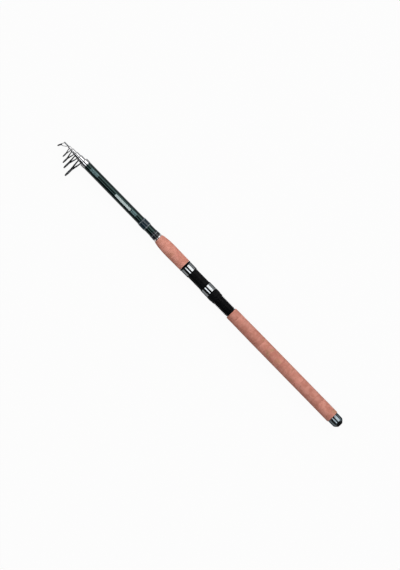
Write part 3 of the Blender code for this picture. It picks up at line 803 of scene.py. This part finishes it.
def make_butt_cap():
    """The cap: a plated band on a hollow threaded stud, and a moulded dome with a coin slot."""
    start, tip = span("butt_cap")
    shoulder = span("rear_grip")[0] - FACE_GAP
    wide = radius_of("butt_cap")
    pitch = 0.0025
    stud = 0.00745
    neck = stud - 0.0006
    thread = (shoulder + 0.0022, tip)
    halves = (0.00038, 0.00063)
    bore = stud - 0.00145
    bore_end = shoulder - 0.0022
    joint = start + 0.0050
    joint_radius = wide - 0.0013
    band_end = joint + 0.0001
    band = soften([
        (shoulder, wide - 0.0002, 0.0003),
        *groove(shoulder - 0.0016, shoulder - 0.0027, -0.0003, wide - 0.0004, (wide - 0.0001, 0.0002)),
        (start + 0.0068, wide - 0.0004, 0.0009), (band_end, joint_radius), (band_end, 0)], steps=8)
    dome = soften([(joint, 0), (joint, joint_radius, 0.0002), (start, 0.0055, 0.0015), (start, 0)], steps=8)

    def outline_at(turn):
        """The outline of band and stud at a share of a turn."""
        ridges = thread_points(turn, thread, shoulder, pitch, (neck, stud), halves)
        inside = [Vector((tip, bore)), Vector((bore_end, bore)), Vector((bore_end, 0))]
        return [*band[::-1], Vector((shoulder, neck)), *ridges, *inside]

    plated = turned(outline_at, THREAD_SIDES)
    finish_piece("butt_cap_band", plated, dark_chrome, "butt_cap", ["butt_cap"])
    moulded = combined(turned(lambda turn: dome, THREAD_SIDES), [coin_slot(start, 2 * wide)], "DIFFERENCE")
    finish_piece("butt_cap_end", moulded, black_plastic, "butt_cap", ["butt_cap"])


def coin_slot(face, reach):
    """A level bar with bevelled edges, which cuts the slot for a coin into the cap's end."""
    half_width, depth = 0.00225, 0.0022
    lead, bevel, corner = 0.001, 0.0006, 0.0003
    upper = [(-lead, half_width + bevel), (0.00035, half_width), (depth - corner, half_width),
             (depth, half_width - corner)]
    outline = [(x, -z) for x, z in upper] + upper[::-1]
    mesh = bmesh.new()
    near, far = ([mesh.verts.new((face + x, AXIS.y + y, AXIS.z + z)) for x, z in outline]
                 for y in (-reach, reach))
    for index in range(len(outline)):
        mesh.faces.new((near[index - 1], near[index], far[index], far[index - 1]))
    mesh.faces.new(near)
    mesh.faces.new(far)
    return mesh


# Sections and guides

def make_sections():
    """The five sections: four lacquered tubes and the solid tip, all flared at the rear."""
    flare, flare_length = 0.00015, 0.025
    for index, front in enumerate(SECTION_FRONTS):
        name = f"section_{index + 1}"
        start, end = span(name)
        rear = radius_of(name)
        outline = [(start, rear - 0.0001, 0.0002), (start + 0.0008, rear, 0.0004),
                   (start + flare_length, rear - flare), (end, front, FINE)]
        if index < len(SECTION_WALLS):
            wall = SECTION_WALLS[index]
            outline += [(end, front - wall), (start, rear - wall)]
        else:
            outline += [(end, 0), (start, 0)]
        round_piece(f"{name}_tube", outline, lacquer, name, [name], TUBE_SIDES)


def make_guides():
    """The four guides, from the largest to the smallest."""
    wires = (0.00085, 0.0008, 0.0007, 0.0005)
    halves = (0.0015, 0.0013, 0.0011, 0.0009)
    insert_walls = (0.0020, 0.0018, 0.0016, 0.0014)
    front_feet = (0.0083, 0.0072, 0.0072, 0.0050)
    guides = zip(SECTION_FRONTS, SECTION_WALLS, wires, halves, insert_walls, front_feet)
    for number, sizes in enumerate(guides, start=1):
        make_guide(number, *sizes)


def make_guide(number, tube, tube_wall, wire, half, insert_wall, front_foot):
    """A guide: a rolled sleeve on its tube, two pairs of wire legs, a frame and a ceramic ring.
    half is half the frame's length, and front_foot is the front legs' place on the sleeve."""
    body = f"guide_{number}"
    frame_node, insert_node = f"guide_frame_{number}", f"guide_insert_{number}"
    start, end = span(frame_node)
    inside = tube + GLUE
    outside = inside + SLEEVE_WALL
    bore = tube - tube_wall
    lip = end - 0.0006
    round_piece(f"{body}_sleeve", [
        (start, outside, 0.00015),
        *groove(start + 0.0007, end - 0.0010, 0.0002, outside - 0.00014, (outside, FINE)),
        (end, outside, 0.0003), (end, bore, 0.0002), (lip, bore), (lip, inside), (start, inside)],
        bright_chrome, body, [frame_node], TUBE_SIDES, steps=3)

    centre = centre_of(insert_node)
    ring_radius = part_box(frame_node)[1].y - centre.y
    wall = 2 * wire
    leg_inset = 1.2 * wire
    spread = half - leg_inset
    crown = 0.7 * half
    overhang = 0.00025
    legs = []
    for side in (-1, 1):
        for foot, at in ((2 * wire, -spread), (front_foot, spread)):
            points = leg_points(foot, outside - LEG_SINK, side * LEG_FOOT_ANGLE, centre.y - AXIS.y,
                                side * (ring_radius - wall / 2), centre.x - start + at)
            legs.append(wire_mesh([point + Vector((start, AXIS.y, AXIS.z)) for point in points], wire))
    holder = ring_mesh(centre, ring_radius - wall, ring_radius, half, crown, wire / 2, RING_SIDES)
    finish_piece(f"{body}_frame", combined(holder, legs, "UNION"), wire_metal, body)
    outer = ring_radius - wall - GLUE
    ring = ring_mesh(centre, outer - insert_wall, outer, half + overhang, wire, crown, RING_SIDES)
    finish_piece(f"{body}_ring", ring, ceramic, body, [insert_node])


def leg_points(foot, foot_radius, angle, height, ring_side, end_x):
    """One guide leg, from the side of its sleeve up to the side of its ring."""
    knee_share, swing_width = 0.45, 1.25
    outward = Vector((0, math.cos(angle), math.sin(angle)))
    rise = height - foot_radius
    start = Vector((foot, 0, 0)) + outward * foot_radius
    end = Vector((end_x, height, ring_side))
    bend = start + outward * rise * knee_share
    swing = Vector((end_x, height - rise * knee_share, ring_side * swing_width))
    return interpolate_bezier(start, bend, swing, end, LEG_POINTS)


def make_tip_top():
    """The tip-top: a thin tube, two braces, a strut and a small leaning ring."""
    tube_length = 0.0116
    brace_station = 0.0022
    insert_wall = 0.0011
    start = span("tip_frame")[0]
    end = start + tube_length
    inside = SECTION_FRONTS[-1] + GLUE
    outside = inside + SLEEVE_WALL
    waist = outside - 0.0001
    points = soften([
        (start, outside, 0.00015), (start + 0.0006, outside, FINE), (start + 0.0008, waist, FINE),
        (end - 0.0006, waist, FINE), (end, outside, 0.0002), (end, inside), (start, inside)], steps=3)
    tube = turned(lambda turn: points, TIP_TUBE_SIDES)

    wire = 0.0004
    ring_radius = 0.00485
    wall = 2.5 * wire
    centre = centre_of("tip_insert")
    height = centre.y - AXIS.y
    seat = Matrix.Translation(centre) @ Matrix.Rotation(math.radians(-23), 4, "Z")
    foot_radius = outside - LEG_SINK
    struts = []
    for side in (-1, 1):
        outward = Vector((0, math.cos(LEG_FOOT_ANGLE), side * math.sin(LEG_FOOT_ANGLE)))
        foot = Vector((start + brace_station, AXIS.y, AXIS.z)) + outward * foot_radius
        top = seat @ Vector((0, 0, side * (ring_radius - wall / 2)))
        bend = foot + outward * height * 0.3
        swing = top + Vector((-height * 0.5, -height * 0.2, side * ring_radius * 0.2))
        struts.append(wire_mesh(interpolate_bezier(foot, bend, swing, top, BRACE_POINTS), wire))
    strut_foot = Vector((end - 2 * wire, AXIS.y + foot_radius, AXIS.z))
    struts.append(wire_mesh([strut_foot, seat @ Vector((0, wall / 2 - ring_radius, 0))], wire))
    whole = combined(tube, struts, "UNION")
    finish_piece("tip_top_frame", whole, tip_metal, "tip_top", ["tip_frame"])

    behind = Vector((-wire, 0, 0))
    half = 3.05 * wire
    outer = ring_radius - wall - GLUE
    holder = ring_mesh(behind, ring_radius - wall, ring_radius, half, 1.8 * wire, wire / 2, TIP_RING_SIDES)
    ring = ring_mesh(behind, outer - insert_wall, outer, half, wire, wire, TIP_RING_SIDES)
    for mesh in (holder, ring):
        bmesh.ops.transform(mesh, matrix=seat, verts=mesh.verts)
    finish_piece("tip_top_holder", holder, black_nickel, "tip_top")
    finish_piece("tip_top_ring", ring, ceramic, "tip_top", ["tip_insert"])


# Stage, lights and camera

def pale_piece(name, places, faces, share):
    """A matt white stage piece. To the camera, in reflections and through glass it shows a share of
    plain white, whatever the light, and the rest of it keeps the rod's shadow."""
    data = bpy.data.meshes.new(name)
    data.from_pydata(places, [], faces)
    made = Surface(name, (0.5, 0.5, 0.5), 0.9, level=0.0)
    path = made.node("LightPath").outputs
    shown = path["Is Camera Ray"]
    for ray in ("Is Glossy Ray", "Is Transmission Ray"):
        shown = made.math("MAXIMUM", shown, path[ray])
    glow = made.node("Emission").outputs[0]
    inputs = {0: made.math("MULTIPLY", shown, share), 1: made.shader.outputs[0], 2: glow}
    mixed = made.node("MixShader", inputs).outputs[0]
    made.tree.links.new(mixed, made.tree.nodes["Material Output"].inputs["Surface"])
    data.materials.append(made.material)
    add_object(name, data)


def make_floor():
    """A wide pale table."""
    half = 30.0
    places = [(-half, -half, 0), (half, -half, 0), (half, half, 0), (-half, half, 0)]
    pale_piece("floor", places, [(0, 1, 2, 3)], 0.955)


def make_wall():
    """A white wall far behind the table, all the way round."""
    radius, bottom, top, sides = 28.0, -0.5, 6.6, 48
    places = []
    faces = []
    for side in range(sides):
        angle = 2 * math.pi * side / sides
        places += [(radius * math.cos(angle), radius * math.sin(angle), z) for z in (bottom, top)]
        follower = (side + 1) % sides
        faces.append((2 * side, 2 * follower, 2 * follower + 1, 2 * side + 1))
    pale_piece("wall", places, faces, 0.97)


def make_world():
    """A dim room above the table, with a soft even fill for the lighting."""
    room_level, fill = 0.03, 0.24
    world = bpy.data.worlds.new("studio")
    bpy.context.scene.world = world
    world.use_nodes = True
    tree = world.node_tree
    room = tree.nodes["Background"]
    room.inputs["Color"].default_value = colour(1.0, 0.98, 0.94)
    diffuse = add_node(tree, "LightPath").outputs["Is Diffuse Ray"]
    level = add_node(tree, "Math", {0: diffuse, 1: fill, 2: room_level}, operation="MULTIPLY_ADD")
    tree.links.new(level.outputs[0], room.inputs["Strength"])


def make_lamp(name, angle, width, radiance, tint):
    """A softbox along the rod, a little toward its butt. angle is from straight up toward +Y."""
    distance, length = 8.0, 4.2
    toward_butt = Vector((-0.3, 0, 0))
    data = bpy.data.lights.new(name, "AREA")
    data.shape = "RECTANGLE"
    data.size = length
    data.size_y = width
    data.energy = radiance * math.pi * width * length
    data.color = tint
    lamp = add_object(name, data)
    direction = Vector((0, math.sin(angle), math.cos(angle)))
    lamp.location = AXIS + direction * distance + toward_butt
    lamp.rotation_euler = (-angle, 0, 0)


def make_camera():
    """A long lens that looks straight down, with the tip to the upper left. It stands a few
    millimetres beside the rod's middle, as the photograph's frame does."""
    distance = 4.95
    beside = (-0.0016686, 0.0050164)
    angle = math.radians(45.70)
    data = bpy.data.cameras.new("camera")
    data.lens = 170.0
    data.sensor_width = 36.0
    data.clip_start = 0.05
    data.clip_end = 200.0
    camera = add_object("camera", data)
    right = Vector((-math.cos(angle), -math.sin(angle), 0))
    up = Vector((math.sin(angle), -math.cos(angle), 0))
    back = Vector((0, 0, 1))
    camera.location = AXIS + Vector((*beside, distance))
    camera.rotation_euler = Matrix((right, up, back)).transposed().to_euler()
    bpy.context.scene.camera = camera


make_camera()
make_world()
make_floor()
make_wall()
make_lamp("key_softbox", math.radians(-43.5), width=6.7, radiance=5.1, tint=(1.0, 0.985, 0.97))
make_lamp("strip_softbox", math.radians(21.3), width=2.4, radiance=5.3, tint=(0.97, 0.985, 1.0))

make_butt_tube()
make_wrap("front_wrap", navy_thread, rear_slope=0.18, front_slope=0.18,
          bands=((0.0008, 0.0024), (0.0149, 0.0165)))
make_wrap("rear_wrap", charcoal_thread, rear_slope=0.0, front_slope=1.0,
          bands=((0.0063, 0.0075),))
make_winding_check()
make_rear_grip()
make_foregrip()
make_barrel()
make_hoods()
make_lock_nut()
make_seat_ring()
make_butt_cap()
make_sections()
make_guides()
make_tip_top()

# The small inner pieces keep the solids' shapes
for node, material in (("hood_key", black_plastic), ("butt_bush", black_plastic), ("cap_seal", rubber),
                       ("cap_pad", foam)):
    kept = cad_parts[node]
    kept.data.materials.clear()
    kept.data.materials.append(material)

bpy.context.scene.view_settings.view_transform = "Standard"
